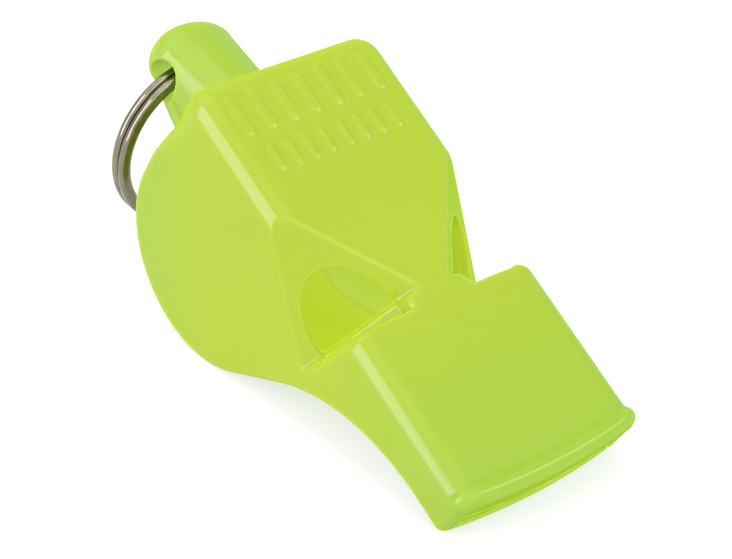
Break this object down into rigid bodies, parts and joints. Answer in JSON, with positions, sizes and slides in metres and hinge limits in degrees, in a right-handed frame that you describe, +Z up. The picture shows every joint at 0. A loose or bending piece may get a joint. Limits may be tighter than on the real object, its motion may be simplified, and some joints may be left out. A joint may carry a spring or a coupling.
{
  "type": "training whistle",
  "caption": "Pealess training whistle: wedge-fronted body with slanted side windows, flat mouthpiece, rear lug and a swinging split ring.",
  "frame": {"origin": "middle of the underside of the object's box, on the surface it lies on, nose down on its belly and the lower edge of its mouth", "axes": "+X towards the mouthpiece, +Y across the body, +Z up; the flat top is tipped 30.5 degrees nose down"},
  "size_m": [0.0556, 0.0216, 0.027],
  "materials": {
    "body_plastic": "moulded fluorescent yellow-green plastic, slightly see-through, satin gloss",
    "insert_plastic": "same moulded plastic inside",
    "ring_steel": "nickel-plated spring steel"
  },
  "bodies": {
    "whistle": {"body_shell": "body_plastic", "belly_cover": "body_plastic", "chamber_insert": "insert_plastic"},
    "ring": {"split_ring": "ring_steel"}
  },
  "joints": [
    {"name": "ring_swing", "type": "hinge", "parent": "whistle", "child": "ring", "pos_m": [-0.02345, 0, 0.02097], "axis": [0, 1, 0], "range_deg": [-18, 228]}
  ]
}
